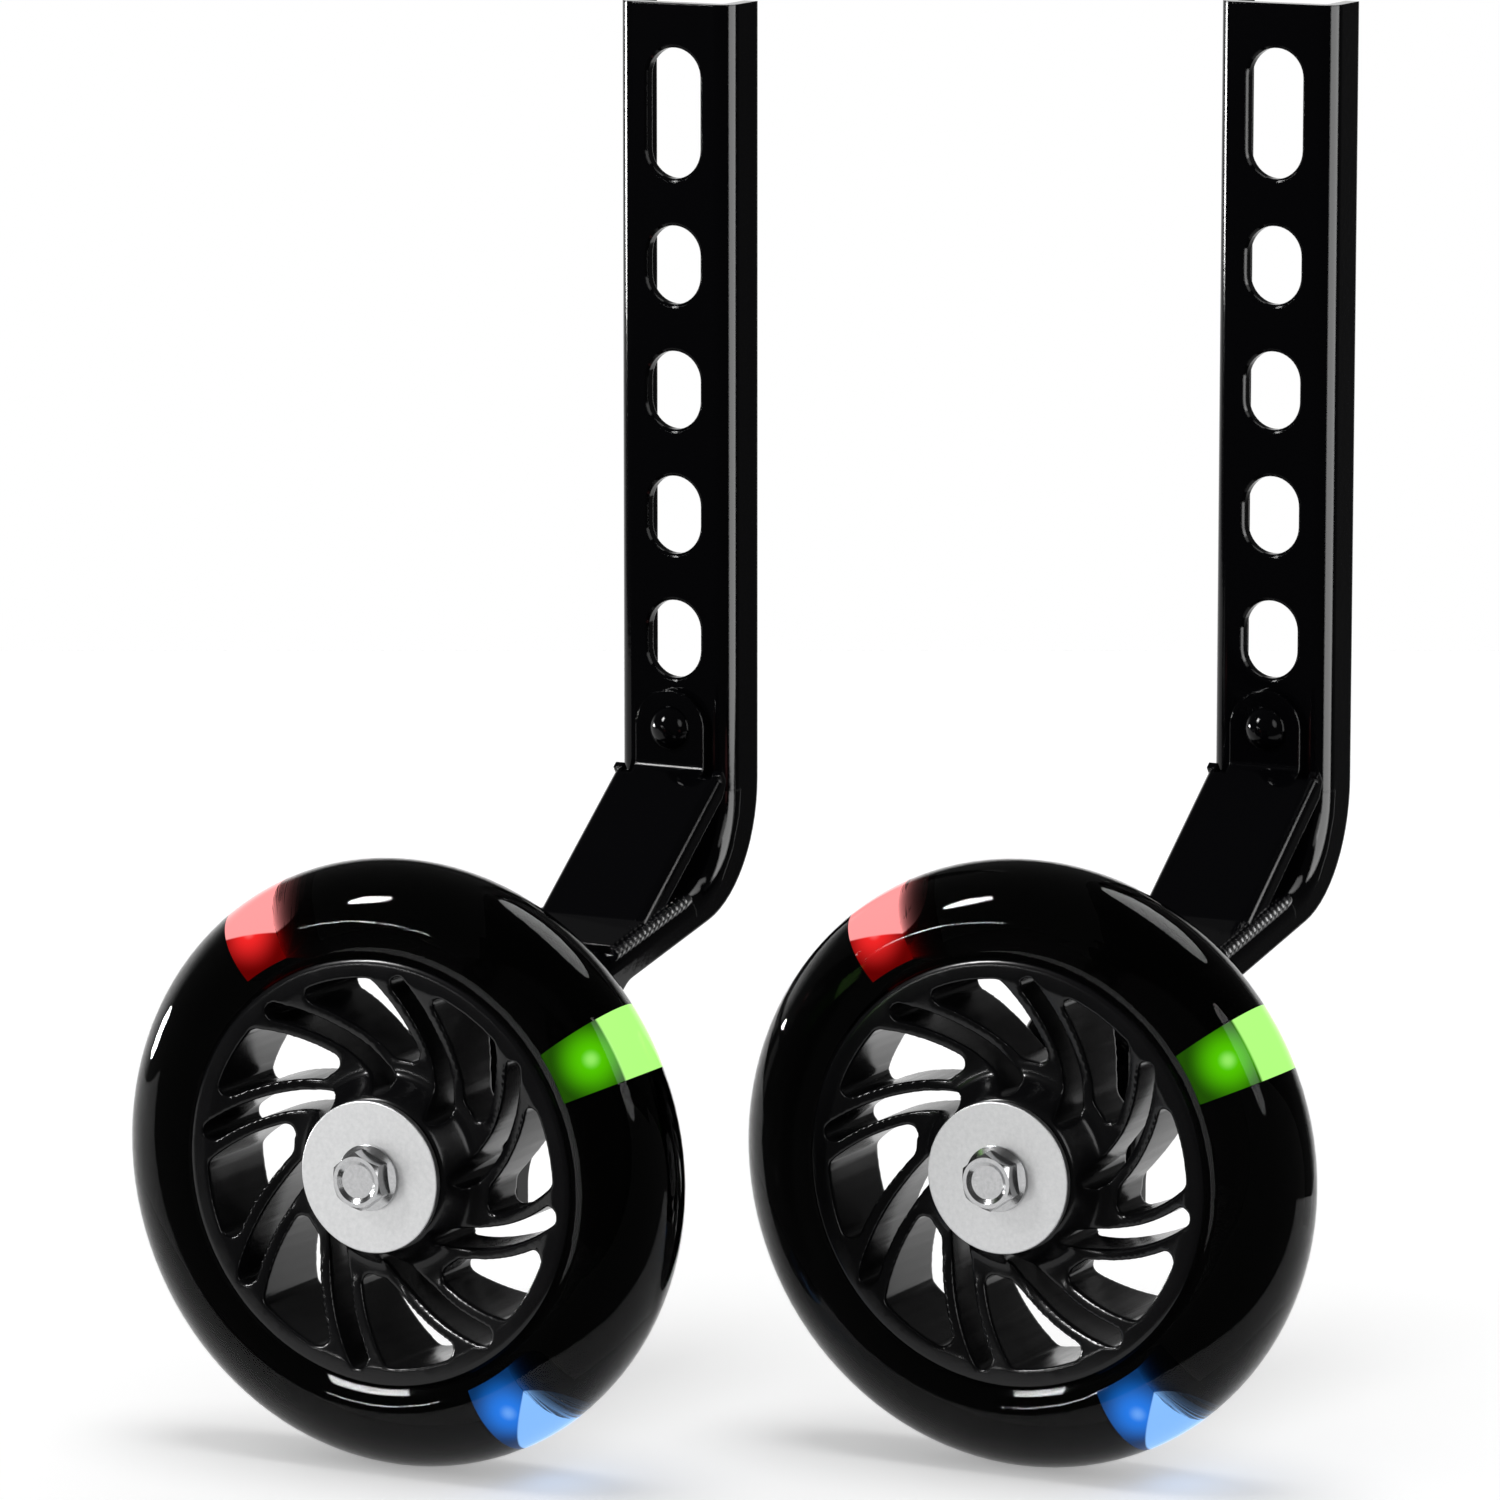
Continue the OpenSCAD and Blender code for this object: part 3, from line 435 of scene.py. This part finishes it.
# %% Long-lens camera
LENS_PIXELS = 9000
PHOTO_SIDE = 1500
SENSOR_MM = 36
CAMERA_PLACE = Vector((845.901, -1598.861, 250.592)) * MM
CAMERA_REACH = 20
YAW, PITCH = math.radians(27.39), math.radians(9.779)
across = Vector((math.cos(YAW), math.sin(YAW), 0))
away = Vector((-math.sin(YAW), math.cos(YAW), 0))
view_line = away * math.cos(PITCH) + Vector((0, 0, -math.sin(PITCH)))
camera = bpy.data.objects.new("camera", bpy.data.cameras.new("camera"))
bpy.context.scene.collection.objects.link(camera)
camera.data.sensor_width = SENSOR_MM
camera.data.lens = SENSOR_MM * LENS_PIXELS / PHOTO_SIDE
camera.data.clip_end = CAMERA_REACH
camera.location = CAMERA_PLACE
camera.rotation_euler = view_line.to_track_quat("-Z", "Y").to_euler()
bpy.context.scene.camera = camera
print("lens of", round(camera.data.lens, 1), "mm")

# %% [markdown]
# ## Floor and light
# A strip of white paper, square to the camera, takes a soft shadow from one
# lamp high above, which lights nothing else. Behind the strip the world shows
# a white backdrop, and the room in front is dark, so black enamel and nylon
# mirror darkness on their faces and white along their edges. The other lamps
# leave the paper alone, so that they throw no long shadows on it. Narrow ones
# draw the highlights, a card beside the arms draws the grey line along their
# folds, and a card in front brightens the washers and bolts. A lamp that is
# there only for a reflection gives no light to dull surfaces.

# %% White floor
FLOOR_LEFT, FLOOR_RIGHT, FLOOR_FRONT, FLOOR_BACK = -0.9, 0.36, -0.17, 0.9
FLOOR_GLOW = 0.34  # keeps the shadow as pale as on a lit paper sweep
WHITE = light("#ffffff")


def seen_directly(material, rays):
    """1 for a ray from the camera or through clear urethane, else 0."""
    either = add(material, "ShaderNodeMath", {"operation": "MAXIMUM"},
                 {0: rays.outputs["Is Camera Ray"], 1: rays.outputs["Is Transmission Ray"]})
    return either.outputs[0]


floor_height = solid_box[0][2]
floor_corners = ((FLOOR_LEFT, FLOOR_FRONT), (FLOOR_RIGHT, FLOOR_FRONT),
                 (FLOOR_RIGHT, FLOOR_BACK), (FLOOR_LEFT, FLOOR_BACK))
floor_mesh = bpy.data.meshes.new("floor")
floor_mesh.from_pydata([across * u + away * w + Vector((0, 0, floor_height)) for u, w in floor_corners],
                       [], [(0, 1, 2, 3)])
floor = bpy.data.objects.new("floor", floor_mesh)
bpy.context.scene.collection.objects.link(floor)
paper = new_material("white_paper_floor")
matt = add(paper, "ShaderNodeBsdfDiffuse", {"Color": light("#f2f2f2")})
glow = add(paper, "ShaderNodeEmission", {"Color": WHITE, "Strength": FLOOR_GLOW})
glowing = add(paper, "ShaderNodeAddShader", {}, {0: matt.outputs[0], 1: glow.outputs[0]})
path = add(paper, "ShaderNodeLightPath")
shown = add(paper, "ShaderNodeMath", {"operation": "MAXIMUM"},
            {0: seen_directly(paper, path), 1: path.outputs["Is Glossy Ray"]})
choice = add(paper, "ShaderNodeMixShader", {}, {0: shown.outputs[0], 1: matt.outputs[0], 2: glowing.outputs[0]})
add(paper, "ShaderNodeOutputMaterial", {}, {"Surface": choice.outputs[0]})
dress(floor, paper)
print("floor at", round(floor_height, 4))

# %% Soft lamps
AIM = Vector((50, -80, -80)) * MM
FOLDED = [parts[f"{side}_{name}"] for side in SIDES for name in ("arm", "brace", "brace_welds")]
PLATED = [parts[f"{side}_{name}"] for side in SIDES for name in ("outer_washer", "axle_bolt")]
DRESSED = [*parts.values(), *cores.values()]


def soft_lamp(name, turn, rise, reach, size, level, shape="ELLIPSE", lights=True, only=()):
    """A lamp that faces the wheels; turn and rise are degrees from straight in front.

    Reach and size are in metres, and level is its radiance. With lights off it
    shows only in reflections. Only lists the pieces that it reaches.
    """
    a, e = math.radians(turn), math.radians(rise)
    lamp = bpy.data.lights.new(name, "AREA")
    lamp.shape = shape
    lamp.size, lamp.size_y = size
    lamp.energy = level * math.pi * size[0] * size[1] * (math.pi / 4 if shape == "ELLIPSE" else 1)
    holder = bpy.data.objects.new(name, lamp)
    holder.location = AIM + Vector((math.sin(a) * math.cos(e), -math.cos(a) * math.cos(e), math.sin(e))) * reach
    holder.rotation_euler = (AIM - holder.location).to_track_quat("-Z", "Y").to_euler()
    holder.visible_diffuse = lights
    holder.visible_transmission = False
    if only:
        group = bpy.data.collections.new(f"{name}_pieces")
        for piece in only:
            group.objects.link(piece)
        holder.light_linking.receiver_collection = group
    bpy.context.scene.collection.objects.link(holder)
    print(name, "gives", round(lamp.energy, 1), "W")


soft_lamp("key_lamp", -41, 37, 1.5, (0.16, 0.44), 110, only=DRESSED)
soft_lamp("floor_lamp", 0, 90, 3.0, (1.6, 1.6), 5.0, only=[floor])
soft_lamp("low_glint", -30, 3, 4.0, (0.8, 0.1), 55, lights=False)
soft_lamp("left_glint", -86, 1, 1.5, (0.3, 0.2), 90, lights=False)
soft_lamp("right_card", 100, 11, 0.55, (0.5, 0.42), 14, "RECTANGLE", lights=False, only=FOLDED)
soft_lamp("front_card", -10, -9, 1.2, (2.4, 1.0), 0.95, "RECTANGLE", lights=False, only=PLATED)
soft_lamp("right_lamp", 62, 25, 1.5, (0.5, 0.9), 4, only=DRESSED)
soft_lamp("back_lamp", 150, 60, 1.5, (1.0, 0.7), 5, only=DRESSED)

# %% [markdown]
# ## The room
# The world is white to the camera and through clear urethane. Dull surfaces
# get half of that from all sides. Reflections see a dark room with a white
# backdrop behind on the left, which ends a little above the horizon.

# %% White backdrop in a dark room
BACKDROP = Vector((-0.57, 0.82, 0))
BACKDROP_SIDE = (0.52, 0.78)  # cosines from the backdrop's middle, where it starts and is full
BACKDROP_TOP = (0.36, 0.16)  # sines of the height, where it has ended and is full
DARK_ROOM = 0.06
FILL = 0.5

world = bpy.data.worlds.new("white_studio")
bpy.context.scene.world = world
world.use_nodes = True
world.node_tree.nodes.clear()
rays = add(world, "ShaderNodeLightPath")
heading = add(world, "ShaderNodeTexCoord")
toward = add(world, "ShaderNodeVectorMath", {"operation": "DOT_PRODUCT", 1: tuple(BACKDROP)},
             {0: heading.outputs["Generated"]})
wide = add(world, "ShaderNodeMapRange", {"From Min": BACKDROP_SIDE[0], "From Max": BACKDROP_SIDE[1]},
           {"Value": toward.outputs["Value"]})
height = add(world, "ShaderNodeSeparateXYZ", {}, {0: heading.outputs["Generated"]})
low = add(world, "ShaderNodeMapRange", {"From Min": BACKDROP_TOP[0], "From Max": BACKDROP_TOP[1]},
          {"Value": height.outputs["Z"]})
backdrop = add(world, "ShaderNodeMath", {"operation": "MULTIPLY"},
               {0: wide.outputs["Result"], 1: low.outputs["Result"]})
mirrored = spread(world, backdrop.outputs[0], DARK_ROOM, 1.0)
lit = add(world, "ShaderNodeMix", {2: FILL}, {0: rays.outputs["Is Glossy Ray"], 3: mirrored})
level = add(world, "ShaderNodeMix", {3: 1.0}, {0: seen_directly(world, rays), 2: lit.outputs[0]})
sky = add(world, "ShaderNodeBackground", {"Color": WHITE}, {"Strength": level.outputs[0]})
add(world, "ShaderNodeOutputWorld", {}, {"Surface": sky.outputs["Background"]})
bpy.context.scene.view_settings.view_transform = "Standard"
print("studio lit")
